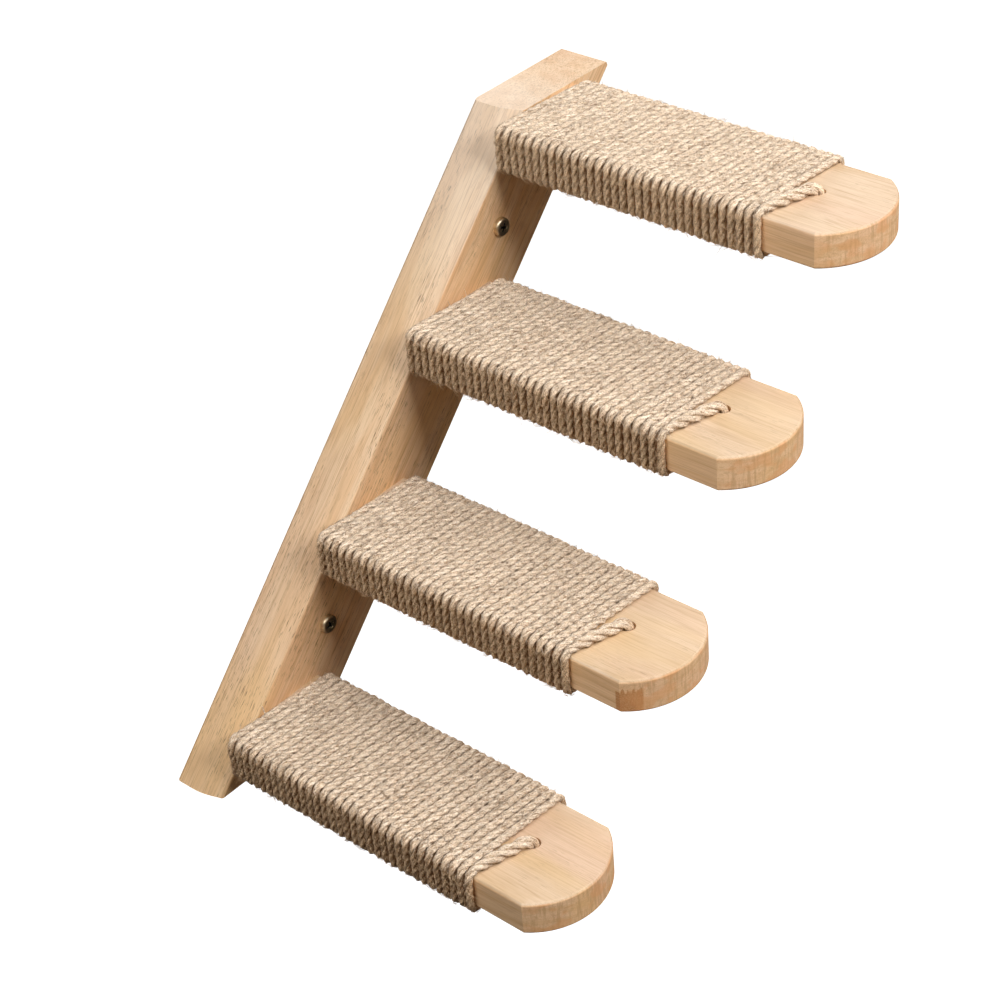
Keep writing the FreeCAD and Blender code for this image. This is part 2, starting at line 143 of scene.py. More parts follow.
WARM_WHITE = (1.0, 0.75, 0.52)
add_light("key_lamp", "AREA", (0.02, -0.78, 0.62), strength=16.0, softness=0.5, far=1.7)
add_light("broad_lamp", "AREA", (0.41, -0.52, 0.75), strength=50.0, softness=2.1, far=3.0)
add_light("side_lamp", "AREA", (-0.64, 0.0, 0.76), strength=18.5, softness=1.1, far=1.7)
add_light("back_light", "SUN", (0.66, 0.72, 0.12), strength=2.1, softness=40)
add_light("under_light", "SUN", (0.25, 0.30, -0.92), strength=1.0, softness=30)
add_light(
    "warm_fill", "SUN", (-0.45, -0.55, 0.70), strength=0.23, softness=170, colour=WARM_WHITE
)

# %% [markdown] The floor is one large plane far below the object. It gives no light back
# and throws no shadow, so the light from below passes it.

# %% White surroundings and paper floor
PURE_WHITE = (1.0, 1.0, 1.0, 1.0)
FLOOR_WIDTH, FLOOR_HEIGHT = 60, -2.5

world = bpy.data.worlds.new("studio")
world.use_nodes = True
world.node_tree.nodes["Background"].inputs["Color"].default_value = PURE_WHITE
world.node_tree.nodes["Background"].inputs["Strength"].default_value = 1.0
world.cycles_visibility.diffuse = world.cycles_visibility.glossy = False
bpy.context.scene.world = world
bpy.context.scene.view_settings.view_transform = "Standard"

bpy.ops.mesh.primitive_plane_add(size=FLOOR_WIDTH, location=(0, 0, FLOOR_HEIGHT))
floor = bpy.context.object
floor.name = "floor"
floor.visible_diffuse = floor.visible_glossy = floor.visible_shadow = False
floor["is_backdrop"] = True
print("floor:", FLOOR_WIDTH, "m wide, at a height of", FLOOR_HEIGHT, "m")

# %% [markdown]
# ## Writing a finish as a sum
#
# A finish is a network of nodes. As a drawing it is easy to follow, but in code it soon turns
# into a long list of links. So an output is wrapped in a small class that knows the signs
# + - and *. A line such as 1 - mask then adds the Math node that it means.


# %% An output that takes part in sums
class Wire:
    """The output of a node. A sign between two of them adds a Math node."""

    def __init__(self, finish, socket):
        self.finish = finish
        self.socket = socket

    def maths(self, operation, first, second):
        """Adds the Math node of one sign."""
        return self.finish.node("Math", {"operation": operation}, {0: first, 1: second})

    def __add__(self, other):
        return self.maths("ADD", self, other)

    def __radd__(self, other):
        return self.maths("ADD", other, self)

    def __sub__(self, other):
        return self.maths("SUBTRACT", self, other)

    def __rsub__(self, other):
        return self.maths("SUBTRACT", other, self)

    def __mul__(self, other):
        return self.maths("MULTIPLY", self, other)

    def __rmul__(self, other):
        return self.maths("MULTIPLY", other, self)

    def between(self, low, high):
        """0 up to low, 1 from high on, and a smooth rise between them."""
        smooth = {"interpolation_type": "SMOOTHSTEP"}
        return self.finish.node("MapRange", smooth, {0: self, 1: low, 2: high})


print("a wire knows the signs + - and *")

# %% [markdown]
# A second class holds the material itself. All its nodes come from one method, which takes
# the node's type, its settings, and the values or links of its sockets. The others are short
# names for what the finishes here need again and again.


# %% A finish, made node by node
class Finish:
    """A material, with one method that adds any node."""

    # the outputs of Blender's nodes that the wires here start from, by their places
    COORDINATE_NORMAL, COORDINATE_OBJECT = 1, 3
    ATTRIBUTE_VECTOR, ATTRIBUTE_NUMBER = 1, 2
    MIXED_COLOUR = 2

    def __init__(self, name):
        self.material = bpy.data.materials.new(name)
        self.material.use_nodes = True
        self.tree = self.material.node_tree
        self.tree.nodes.clear()

    def node(self, kind, settings, sockets, output=0):
        """Adds a node, sets it up, and gives its sockets their values or links."""
        added = self.tree.nodes.new("ShaderNode" + kind)
        for name, value in settings.items():
            setattr(added, name, value)
        for name, value in sockets.items():
            if isinstance(value, Wire):
                self.tree.links.new(value.socket, added.inputs[name])
            else:
                added.inputs[name].default_value = value
        return Wire(self, added.outputs[output]) if added.outputs else None

    def place(self):
        """Where a point of the surface lies on the object, in metres."""
        return self.node("TexCoord", {}, {}, self.COORDINATE_OBJECT)

    def facing(self):
        """Which way the surface faces."""
        return self.node("TexCoord", {}, {}, self.COORDINATE_NORMAL)

    def in_millimetres(self, place, turn=(0, 0, 0)):
        """A place in millimetres, on axes that are turned by these angles."""
        sockets = {"Vector": place, "Rotation": turn, "Scale": (MM, MM, MM)}
        return self.node("Mapping", {"vector_type": "TEXTURE"}, sockets)

    def kept(self, name, output=ATTRIBUTE_NUMBER):
        """What the mesh keeps for each of its points under this name."""
        return self.node("Attribute", {"attribute_name": name}, {}, output)

    def noise(self, where, grain, detail=2.0, roughness=0.5, shift=(0, 0, 0)):
        """Clouds on coordinates in millimetres. The grain is the size of a cloud each way."""
        sockets = {"Vector": where, "Location": shift, "Scale": [1 / size for size in grain]}
        sockets = {"Vector": self.node("Mapping", {}, sockets), "Scale": 1.0}
        return self.node("TexNoise", {}, sockets | {"Detail": detail, "Roughness": roughness})

    def mix(self, amount, first, second, blend="MIX"):
        """Mixes two colours by an amount."""
        colours = [c if isinstance(c, Wire) else (*c, 1) for c in (first, second)]
        settings = {"data_type": "RGBA", "blend_type": blend}
        sockets = {0: amount, 6: colours[0], 7: colours[1]}
        return self.node("Mix", settings, sockets, self.MIXED_COLOUR)

    def axis(self, vector, letter):
        """One coordinate of a vector."""
        return self.node("SeparateXYZ", {}, {0: vector}, "XYZ".index(letter))

    def finished(self, colour, roughness, height=None, depth=0.0, **constants):
        """Joins the network to a shader. The height is in parts of the depth, in metres."""
        sockets = {"Base Color": colour, "Roughness": roughness}
        sockets |= {name.replace("_", " "): value for name, value in constants.items()}
        if height is not None:
            sockets["Normal"] = self.node("Bump", {}, {"Height": height, "Distance": depth})
        shader = self.node("BsdfPrincipled", {}, sockets)
        self.node("OutputMaterial", {}, {"Surface": shader})
        return self.material


print("a finish can make:", [name for name in vars(Finish) if name.islower() and name[0] != "_"])

# %% [markdown]
# The paper glows a little, so it is evenly white in the picture. It belongs to the studio
# and not to the object.

# %% Finish of the paper
backdrop = Finish("backdrop_paper")
cloud = backdrop.noise(backdrop.place(), (3.0, 3.0, 3.0))
white = backdrop.mix(cloud, (0.90, 0.90, 0.90), (0.94, 0.94, 0.94))
white_paper = backdrop.finished(white, 0.9, Emission_Color=PURE_WHITE, Emission_Strength=0.97)
floor.data.materials.append(white_paper)
print("finish of the paper:", white_paper.name)

# %% [markdown]
# ## Wood
#
# The board and the planks are a pale hardwood, sanded and left matt. Looked at closely such
# wood has several layers: broad bands of tone that run with the grain, darker strands, lines
# and fibres between them, short dark pores, and slow patches where it turns pinker or more
# golden. Each layer is a noise that is stretched along the grain. Because the noise fills
# space, the ends of a piece show its cross grain by themselves, as a saw cut does.
#
# The pattern's own axes are x across, y through the thickness and z along the grain. A
# Mapping node of the texture kind turns the grain of a piece onto that z. A slow noise bends
# the bands a little, because no tree grows quite straight. The golden patches fade towards
# the top of the object.

# %% Layers that all this wood has
BEND = 14.0
GOLD_FADES = (0.02, 0.13)


def layers_of_wood(made, spot, grain, band, tones, line_share, pore_share):
    """The colour of plain wood, and the fibres, strands and pores in it."""
    wander = made.noise(grain, (60, 60, 90), 1.0, shift=(9.2, 4.0, 0))
    bend = made.node("VectorMath", {"operation": "SCALE"}, {"Vector": wander, "Scale": BEND})
    bent = made.node("VectorMath", {"operation": "ADD"}, {0: grain, 1: bend})

    bands = made.noise(bent, band, 3.0, 0.55)
    strands = made.noise(bent, (1.6, 1.6, 70), 2.0, 0.6, shift=(0, 5.5, 0))
    slow = made.noise(grain, (34, 34, 150), 1.0, shift=(3.1, 0, 7.7))
    golden = made.noise(grain, (26, 40, 110), 1.0, shift=(6.3, 2.2, 1.4))
    fibres = made.noise(grain, (0.55, 0.55, 26), 3.0, 0.65)
    lines = made.noise(grain, (0.9, 0.9, 40), 2.0, 0.6, shift=(8, 1, 0))
    pores = made.noise(grain, (0.42, 0.42, 5.5), 1.0, 0.4, shift=(1.7, 0, 0))
    pore_zones = made.noise(grain, (16, 16, 60), 1.0, 0.5, shift=(0, 2.4, 0))

    colour = made.mix(bands.between(0.36, 0.66), tones["light"], tones["middle"])
    colour = made.mix(strands.between(0.50, 0.78) * 0.55, colour, tones["dark"])
    colour = made.mix(slow.between(0.42, 0.70) * 0.45, colour, tones["pink"])
    gold_share = 0.55 - 0.45 * made.axis(spot, "Z").between(*GOLD_FADES)
    colour = made.mix(golden.between(0.45, 0.68) * gold_share, colour, tones["gold"])
    colour = made.mix(fibres.between(0.40, 0.74) * 0.40, colour, tones["dark"])
    colour = made.mix(lines.between(0.52, 0.70) * line_share, colour, tones["dark"])
    dashes = pores.between(0.62, 0.69) * (pore_zones.between(0.40, 0.62) * 0.65 + 0.12)
    dashes = dashes * pore_share
    colour = made.mix(dashes, colour, tuple(0.50 * part for part in tones["dark"]))
    return colour, fibres, strands, dashes


print("the gold fades between heights of", *GOLD_FADES, "m")

# %% [markdown]
# The second plank has a small darker piece of wood let in at the near corner of its tip. All
# planks share one finish, so that piece is found by its place: a mask is 1 inside a box that
# is given in millimetres. The box's upper side is ragged, in splinters about as wide as a
# millimetre.
#
# The planks' tips are cut across the grain. Fine upright lines and brown stains show there, so
# both are laid over the faces that look to the front, with a little painted shade that makes
# those faces slightly darker.

# %% The piece let in, and the cut tips
LET_IN_LOW, LET_IN_HIGH = (-79.5, -260, -50), (-70.6, -231, -34.5)
LET_IN_SHADE = (0.40, 0.18, 0.065)
LET_IN_BLUR = 0.4
SPLINTERS = (0.0, 0.0, 0.013)
STAIN_SHADE = (0.60, 0.31, 0.14)


def with_the_piece_let_in(made, colour, spot, grain, fibres):
    """The colour with a darker tone inside the box."""
    ragged = made.noise(grain, (1.0, 30, 60), 2.0, 0.7, shift=(5, 0, 2)) - 0.5
    inside = 1.0
    for letter, start, end, wear in zip("XYZ", LET_IN_LOW, LET_IN_HIGH, SPLINTERS):
        along = made.axis(spot, letter) - ragged * wear
        begun = along.between((start - LET_IN_BLUR) * MM, (start + LET_IN_BLUR) * MM)
        ended = along.between((end - LET_IN_BLUR) * MM, (end + LET_IN_BLUR) * MM)
        inside = inside * begun * (1.0 - ended)
    return made.mix(inside * (fibres.between(0.3, 0.6) * 0.45 + 0.5), colour, LET_IN_SHADE)


def with_cut_tips(made, colour, grain, facing, dark):
    """The colour with lines, stains and a little painted shade on the faces that look to the
    front.
    """
    lines = made.noise(grain, (1.3, 16, 70), 3.0, 0.6, shift=(2, 9, 5))
    stain = made.noise(grain, (11, 9, 60), 2.0, 0.5, shift=(4, 3, 2))
    front = (0.0 - made.axis(facing, "Y")).between(0.45, 0.75)
    colour = made.mix(front * lines.between(0.46, 0.66) * 0.55, colour, dark)
    colour = made.mix(front * stain.between(0.48, 0.60) * 0.45, colour, STAIN_SHADE)
    # Painted shade: the faces that look to the front are made slightly darker.
    return made.mix(front, colour, (0.98, 0.97, 0.96), "MULTIPLY")


let_in_size = [round(high - low, 1) for low, high in zip(LET_IN_LOW, LET_IN_HIGH)]
print("box of the piece let in, in mm:", let_in_size)

# %% [markdown]
# The board's faces differ a little. Painted shade makes its front darker and browner, and the
# narrow rounding along the front's long edges darker still. A paler tone lies on the sides
# towards the top, and on the near part of the upper end.

# %% Faces of the board
PALER_TONE_RISES = (0.02, 0.135)
PALER_TONE_ENDS = (0.115, 0.16)
PALER_COLOUR = (0.84, 0.84, 0.79)


def with_the_boards_faces(made, colour, spot, facing):
    """The colour with painted shade on the board's front and its rounding, and a paler tone
    higher up.
    """
    outward = 0.0 - made.axis(facing, "Y")
    rounding = outward.between(0.28, 0.50) * (1.0 - outward.between(0.90, 0.99))
    # Painted shade: the narrow rounding along the front's long edges is made darker.
    colour = made.mix(rounding, colour, (0.86, 0.83, 0.80), "MULTIPLY")
    front = outward.between(0.6, 0.95)
    # Painted shade: the board's front is made darker and browner.
    colour = made.mix(front, colour, (0.92, 0.86, 0.81), "MULTIPLY")
    end = made.axis(facing, "Z").between(0.85, 0.95)
    # A paler tone on the sides towards the top, and on the near part of the upper end.
    paler_tone = (1.0 - front) * (1.0 - end) * made.axis(spot, "Z").between(*PALER_TONE_RISES)
    paler_tone = paler_tone + end * (1.0 - made.axis(spot, "X").between(*PALER_TONE_ENDS))
    return made.mix(paler_tone * 0.24, colour, PALER_COLOUR)


print("the sapwood comes in between heights of", *PALER_TONE_RISES, "m")

# %% [markdown]
# One function puts the layers together. Its last mix is painted light: the faces that don't look
# up are made brighter, and on the planks also warmer. The bump is little more than a tenth of a
# millimetre deep: sanded wood is almost smooth.

# %% One recipe for both woods
SANDED_DEPTH = 0.00012


def wood(name, turn, band, tones, painted_upright_light, line_share, pore_share, is_plank):
    """Pale hardwood whose grain lies along z once it is turned back by these angles."""
    made = Finish(name)
    spot = made.place()
    grain = made.in_millimetres(spot, turn)
    layers = layers_of_wood(made, spot, grain, band, tones, line_share, pore_share)
    colour, fibres, strands, dashes = layers
    facing = made.facing()
    if is_plank:
        colour = with_the_piece_let_in(made, colour, spot, grain, fibres)
        colour = with_cut_tips(made, colour, grain, facing, tones["dark"])
    else:
        colour = with_the_boards_faces(made, colour, spot, facing)
    upright = 1.0 - made.axis(facing, "Z").between(0.3, 0.8)
    # Painted light: the faces that don't look up are made brighter.
    colour = made.mix(upright, colour, painted_upright_light, "MULTIPLY")
    roughness = 0.58 + fibres * 0.12 + dashes * 0.15
    height = fibres * 0.5 - dashes * 0.9 + strands * 0.2
    return made.finished(colour, roughness, height, SANDED_DEPTH)


print("the wood's bump is", SANDED_DEPTH / MM, "mm deep")

# %% [markdown]
# The board leans by 44 degrees and its grain leans with it, so its pattern is turned by that
# angle. The planks' grain runs straight out from the wall. Seen from the side a plank shows
# thin level lines, because it is cut so that its rings lie flat, and its top looks calm. So
# its bands are thin in height and wide across.

# %% Give the board and the planks their wood
LEAN = math.radians(44)
BOARD_TONES = {
    "light": (0.78, 0.57, 0.37),
    "middle": (0.70, 0.46, 0.26),
    "dark": (0.43, 0.24, 0.113),
    "pink": (0.73, 0.495, 0.33),
    "gold": (0.75, 0.495, 0.23),
}
PLANK_TONES = {
    "light": (0.70, 0.53, 0.37),
    "middle": (0.62, 0.44, 0.27),
    "dark": (0.44, 0.27, 0.145),
    "pink": (0.69, 0.47, 0.345),
    "gold": (0.65, 0.45, 0.23),
}

# Both woods get painted light on the faces that don't look up, by the tone given for them.
board_wood = wood(
    "board_wood",
    turn=(0, LEAN, 0),
    band=(7.0, 9.0, 150),
    tones=BOARD_TONES,
    painted_upright_light=(1.22, 1.23, 1.20),
    line_share=0.62,
    pore_share=1.0,
    is_plank=False,
)
plank_wood = wood(
    "plank_wood",
    turn=(-math.pi / 2, 0, 0),
    band=(24.0, 3.2, 170),
    tones=PLANK_TONES,
    painted_upright_light=(1.34, 1.21, 1.04),
    line_share=0.18,
    pore_share=0.35,
    is_plank=True,
)
wooden = {"back_board": board_wood} | {f"step_plank_{step}": plank_wood for step in STEPS}
for name, finish in wooden.items():
    for part in nodes[name].material_slots:
        part.material = finish
print("wooden pieces:", len(wooden))

# %% [markdown]
# ## Rope
#
# Each plank is wound with about six metres of jute rope. Such a rope has three strands that
# lie round each other like the threads of a screw. It begins glued under the plank, next to
# the board, goes round and round, and its tail dives into a hole in the plank's top.
#
# It could be a plain tube with a bump map, but then its outline would be smooth, and a rope's
# outline is knobbly. So the three strands are real. The path is worked out first: one loop
# round the plank, then the same loop again and again, each a rope's width further out. It
# moves on to the next loop on the top face, where it lies slightly slanted.

# %% Sizes of the rope and of what it goes round, in millimetres
TURNS = 32
PITCH = 5.2
FIRST_TURN = 2.95
STAND_OFF = 2.2
PLANK_WIDTH, PLANK_THICKNESS, PLANK_EDGE = 67.5, 20.0, 1.8
HOLE = (36.0, -179.0)
HOLE_SIDE = 0.9
TAIL_TURN, DIVE_TURN, DIVE_DEPTH = 20.0, 4.5, 8.0
LAY, TAIL_LAY = 17.0, 27.0
RUN_STEP = 1.35
print("turns on a plank:", TURNS, "over", round(TURNS * PITCH, 1), "mm")

# %% [markdown]
# A loop has four straight runs and a small bend at each corner of the plank. Each of its
# points also gets the direction that leads away from the wood, and its share of the slant,
# which grows from 0 to 1 while the rope crosses the top.

# %% One loop round a plank, seen from its tip
BEND_POINTS = 5


def loop_round_the_plank():
    """Points, outward directions and share of the slant, from the middle of the underside."""
    points, outward, slant = [], [], []

    def straight(start, end, side, first_share=0.0, last_share=0.0):
        count = max(2, round(math.dist(start, end) / RUN_STEP))
        for i in range(count):
            share = i / count
            points.append([a + (b - a) * share for a, b in zip(start, end)])
            outward.append(side)
            slant.append(first_share + (last_share - first_share) * share)

    def corner(middle, first_angle, share):
        for i in range(BEND_POINTS):
            angle = math.radians(first_angle - 90 * i / BEND_POINTS)
            side = (math.cos(angle), math.sin(angle))
            reach = PLANK_EDGE + STAND_OFF
            points.append([m + reach * s for m, s in zip(middle, side)])
            outward.append(side)
            slant.append(share)

    w, t, r, d = PLANK_WIDTH, PLANK_THICKNESS, PLANK_EDGE, STAND_OFF
    straight((w / 2, -d), (r, -d), (0, -1))
    corner((r, r), 270, 0.0)
    straight((-d, r), (-d, t - r), (-1, 0))
    corner((r, t - r), 180, 0.0)
    straight((r, t + d), (w - r, t + d), (0, 1), 0.0, 1.0)
    corner((w - r, t - r), 90, 1.0)
    straight((w + d, t - r), (w + d, r), (1, 0), 1.0, 1.0)
    corner((w - r, r), 0, 1.0)
    straight((w - r, -d), (w / 2, -d), (0, -1), 1.0, 1.0)
    return np.array(points), np.array(outward), np.array(slant)


loop_points, loop_outward, loop_slant = loop_round_the_plank()
loop_step = np.linalg.norm(np.roll(loop_points, -1, axis=0) - loop_points, axis=1)
print("one loop:", len(loop_points), "points,", round(loop_step.sum(), 1), "mm")

# %% [markdown]
# The tail leaves the last loop at the near top corner and bends in an arc. The arc ends where
# the straight run after it points at the hole. The rope then curves down into the hole.

# %% The tail of the rope
DIVE_POINTS = 8


def tail_of_the_rope(start_y):
    """From the near top corner over the top face and down into the hole."""
    w_x, w_y = HOLE[0] - PLANK_EDGE, HOLE[1] - start_y + TAIL_TURN
    bend = math.atan2(w_x, w_y) - math.acos(TAIL_TURN / math.hypot(w_x, w_y))
    level = PLANK_THICKNESS + STAND_OFF
    flat = []
    for angle in np.linspace(0, bend, BEND_POINTS)[:-1]:
        flat.append((TAIL_TURN * math.sin(angle), TAIL_TURN * (math.cos(angle) - 1)))
    begin = np.array([TAIL_TURN * math.sin(bend), TAIL_TURN * (math.cos(bend) - 1)])
    heading = np.array([math.cos(bend), -math.sin(bend)])
    reach = math.hypot(HOLE[0] - PLANK_EDGE - begin[0], HOLE[1] - start_y - begin[1])
    reach -= DIVE_TURN + HOLE_SIDE
    flat += [tuple(begin + heading * far) for far in np.arange(0, reach, RUN_STEP)]
    last = begin + heading * reach
    places = [(x + PLANK_EDGE, y + start_y, level) for x, y in flat]
    sides = [(0.0, 0.0, 1.0)] * len(places)
    for angle in np.linspace(0, math.pi / 2, DIVE_POINTS):
        along, down = DIVE_TURN * math.sin(angle), DIVE_TURN * (1 - math.cos(angle))
        x, y = last + heading * along
        places.append((x + PLANK_EDGE, y + start_y, level - down))
        sides.append((*(heading * math.sin(angle)), math.cos(angle)))
    for _ in np.arange(RUN_STEP, DIVE_DEPTH, RUN_STEP):
        x, y, z = places[-1]
        places.append((x, y, z - RUN_STEP))
        sides.append(sides[-1])
    return np.array(places), np.array(sides)


print("points of a tail:", len(tail_of_the_rope(-FIRST_TURN - PITCH * TURNS)[0]))

# %% [markdown]
# A hand does not lay every turn alike. Each turn gets a small push sideways and up, from a
# fixed list of random numbers, so that every run of this file gives the same rope. The tail
# share says how far a point belongs to the tail, where the rope is loose and thicker.

# %% The whole path of one rope
UNEVEN_LAYING, UPWARD_SHARE = 0.13, 0.6
TAIL_LOOSENS_OVER = 8


def path_of_the_rope(random):
    """Middle line, outward direction and tail share of a whole rope, on a plank's own axes."""
    count = len(loop_points)
    until_tail = int(np.argmax(loop_slant > 0))
    push = random.normal(0, UNEVEN_LAYING, (TURNS + 2, 2))
    places, sides = [], []
    for turn in range(TURNS + 1):
        size = count if turn < TURNS else until_tail
        for i in range(size):
            (x, z), (side_x, side_z), slant = loop_points[i], loop_outward[i], loop_slant[i]
            share = i / count
            out, along = push[turn] * (1 - share) + push[turn + 1] * share
            out = UPWARD_SHARE * out
            y = -(FIRST_TURN + PITCH * (turn + slant)) + along
            places.append((x + out * side_x, y, z + out * side_z))
            sides.append((side_x, 0.0, side_z))
    tail_places, tail_sides = tail_of_the_rope(places[-1][1])
    loosening = np.arange(len(tail_places)) / TAIL_LOOSENS_OVER
    tail_share = np.zeros(len(places) + len(tail_places))
    tail_share[len(places) :] = np.minimum(1, loosening)
    return np.vstack([places, tail_places]), np.vstack([sides, tail_sides]), tail_share


middle_line, outward_line, tail_share = path_of_the_rope(np.random.default_rng(1))
print("points of a rope:", len(middle_line))

# %% [markdown]
# Round that path go the three strands. At each point of the path there are two directions
# square to it: outward, away from the wood, and sideways. The strands turn through these two
# as the rope goes on, and their twist is never quite even.

# %% Directions and twist along a path
TWIST_MARKS, UNEVEN_TWIST = 45, 0.7


def directions_of(middle, outward):
    """At each point of a path: ahead, outward and sideways, all square to each other."""
    ahead = np.gradient(middle, axis=0)
    ahead /= np.linalg.norm(ahead, axis=1, keepdims=True)
    outward = outward - ahead * np.sum(outward * ahead, axis=1, keepdims=True)
    outward /= np.linalg.norm(outward, axis=1, keepdims=True)
    return ahead, outward, np.cross(outward, ahead)


def twist_angles(middle, tail, random):
    """How far along each point lies, and how far the strands have turned there."""
    step = np.concatenate([[0], np.linalg.norm(np.diff(middle, axis=0), axis=1)])
    far = np.cumsum(step)
    turned = np.cumsum(step * 2 * math.pi / (LAY + tail * (TAIL_LAY - LAY)))
    marks = np.arange(0, far[-1] + TWIST_MARKS, TWIST_MARKS)
    return far, turned + np.interp(far, marks, random.normal(0, UNEVEN_TWIST, len(marks)))


trial_far, _ = twist_angles(middle_line, tail_share, np.random.default_rng(1))
print("length of a rope:", round(trial_far[-1]), "mm")

# %% [markdown]
# A strand's middle goes round in the two directions, a little flatter than a circle because the
# rope is pulled tight on the wood. On the planks' sides the rope is also narrower, so gaps show
# between its turns, dark from real shade and from painted shade. Five corners round each strand
# are enough, because a strand is only three millimetres thick.
#
# Each corner also remembers two things for the finish. One is how far out it stands on its
# strand, lowered in the gaps between turns beside the plank; the finish paints shade into the
# grooves and gaps by it. The other is its place along and round the rope, which lets the fibres
# follow the rope round every corner.

# %% Twist three strands round the path
STRANDS, CORNERS = 3, 5
STRAND_RADIUS, UNEVEN_RADIUS, ROUGH_SURFACE = 1.52, 0.035, 0.04
WOUND_REACH, TAIL_REACH = (1.00, 0.72), (1.75, 1.60)
TAIL_SWELL = 0.25
SIDE_SQUEEZE = 0.20
# Painted shade: where the gaps between turns begin and how far they are darkened.
GAP_BEGINS, GAP_WIDTH, GAP_PAINTED_SHADE = 1.5, 0.8, 1.2
YARN_TWIST, YARN_SPACING = 0.12, 5


def twisted_strands(middle, outward, tail, random):
    """Corners, faces, crown values and fibre values of three strands."""
    _, outward, sideways = directions_of(middle, outward)
    far, turned = twist_angles(middle, tail, random)
    beside = np.abs(outward[:, 0]) * (1 - tail)
    wide, high = (w + tail * (t - w) for w, t in zip(WOUND_REACH, TAIL_REACH))
    wide = wide - SIDE_SQUEEZE * beside
    middle = middle + outward * (high - WOUND_REACH[1])[:, None]
    rings = len(middle)
    corners, crowns, fibres, faces = [], [], [], []
    for strand in range(STRANDS):
        turn = turned + 2 * math.pi * strand / STRANDS
        heart = middle + sideways * (wide * np.cos(turn))[:, None]
        heart = heart + outward * (high * np.sin(turn))[:, None]
        uneven = 1 + random.normal(0, UNEVEN_RADIUS, rings)
        radius = STRAND_RADIUS * (1 + TAIL_SWELL * tail) * uneven
        first = strand * rings * CORNERS + np.arange(rings - 1)
        for corner in range(CORNERS):
            around = 2 * math.pi * corner / CORNERS
            spoke = sideways * np.cos(turn + around)[:, None]
            spoke = spoke + outward * np.sin(turn + around)[:, None]
            rough = random.normal(0, ROUGH_SURFACE, (rings, 3))
            corners.append(heart + spoke * radius[:, None] + rough)
            aside = np.abs(wide * np.cos(turn) + radius * np.cos(turn + around))
            gap = np.clip((aside - GAP_BEGINS) / GAP_WIDTH, 0, 1) * beside
            # Painted shade: the crown value drops in the gaps, so the finish darkens them.
            crowns.append(math.cos(around) - GAP_PAINTED_SHADE * gap)
            yarn = turn + around - far * YARN_TWIST
            across = [np.cos(yarn) * radius + YARN_SPACING * strand, np.sin(yarn) * radius]
            fibres.append(np.stack([far, *across], axis=1))
            here, there = first + corner * rings, first + (corner + 1) % CORNERS * rings
            faces.append(np.stack([here, there, there + 1, here + 1], axis=1))
    return np.vstack(corners), np.vstack(faces), np.concatenate(crowns), np.vstack(fibres)


trial = twisted_strands(middle_line, outward_line, tail_share, np.random.default_rng(1))
print("corners of a rope:", len(trial[0]), "faces:", len(trial[1]))

# %% [markdown]
# Jute is never clean. Short fluff lies over every turn and makes it look rough, and longer
# hairs stand out and soften the edge of a winding. Each is a thin three sided tube that
# leaves the rope at a low angle and curls. They are worked out all at once, because a rope
# has thousands of them.

# %% Fluff and stray hairs
FLUFF = {"count": 3000, "length": (1.6, 4.6), "rise": (-0.02, 0.10), "thick": 0.15, "rings": 3}
HAIRS = {"count": 420, "length": (3.0, 8.5), "rise": (0.12, 0.60), "thick": 0.075, "rings": 5}
CLEAR_START, CLEAR_END = 4, 16
SPREAD, SLANT, CURL, DROOP = 0.62, 0.45, 0.35, (0.05, 0.1)
ROPE_SURFACE, WIDER_ASIDE = 2.25, 0.40
THINS_BY = 0.7


def grown_from_the_rope(kind, middle, outward, random):
    """Corners and faces of thin curled tubes that grow from the outside of the rope."""
    ahead, outward, sideways = directions_of(middle, outward)
    count, rings = kind["count"], kind["rings"]
    place = random.integers(CLEAR_START, len(middle) - CLEAR_END, count)
    lean = random.normal(0, SPREAD, count)[:, None]
    root = outward[place] * np.cos(lean) + sideways[place] * np.sin(lean)
    round_it = sideways[place] * np.cos(lean) - outward[place] * np.sin(lean)
    way = random.choice([-1, 1], count)[:, None]
    aslant = SLANT * way + random.normal(0, SLANT, (count, 1))
    run = ahead[place] * way + round_it * aslant
    run = run + root * random.uniform(*kind["rise"], (count, 1))
    curl = round_it * random.normal(0, CURL, (count, 1))
    curl = curl - root * random.normal(*DROOP, (count, 1))
    length = random.uniform(*kind["length"], (count, 1))
    start = middle[place] + root * (ROPE_SURFACE + WIDER_ASIDE * np.sin(lean) ** 2)
    side = np.cross(root, run)
    corners = np.zeros((count, rings, 3, 3))
    for ring in range(rings):
        share = ring / (rings - 1)
        point = start + (run * share + curl * share**2) * length
        thick = kind["thick"] * (1 - THINS_BY * share)
        corners[:, ring, 0] = point + root * thick
        corners[:, ring, 1] = point + (side - 0.5 * root) * thick
        corners[:, ring, 2] = point - (side + 0.5 * root) * thick
    faces = []
    for hair in range(count):
        first = hair * rings * 3
        for ring in range(rings - 1):
            for a, b in ((0, 1), (1, 2), (2, 0)):
                low, high = first + 3 * ring, first + 3 * ring + 3
                faces.append([low + a, high + a, high + b, low + b])
        last = first + 3 * rings
        faces += [[first, first + 1, first + 2], [last - 1, last - 2, last - 3]]
    return corners.reshape(-1, 3), faces


trial = grown_from_the_rope(HAIRS, middle_line, outward_line, np.random.default_rng(1))
print("corners of the hairs:", len(trial[0]))

# %% [markdown]
# Jute is pale straw on its crowns, and the crown value mixes that with the brown of its grooves;
# the brown in the grooves and in the gaps between turns is painted shade. The fibre value carries
# noises that are long along the rope and fine across it: dark yarns and pale fluff, both for the
# colour and for the small ridges. One more noise, equally fine in every direction, tangles them
# as crossing fibres do. A little sheen stands for the fluff that is too fine to model.
#
# The mesh keeps two more values. One is 1 beside and under the plank, where painted shade makes
# the grooves much darker, adds dark fibres and makes the straw warmer, while painted light makes
# the tops brighter and cooler. The other is painted light too: it makes a rope paler there, the
# more so the higher its plank.

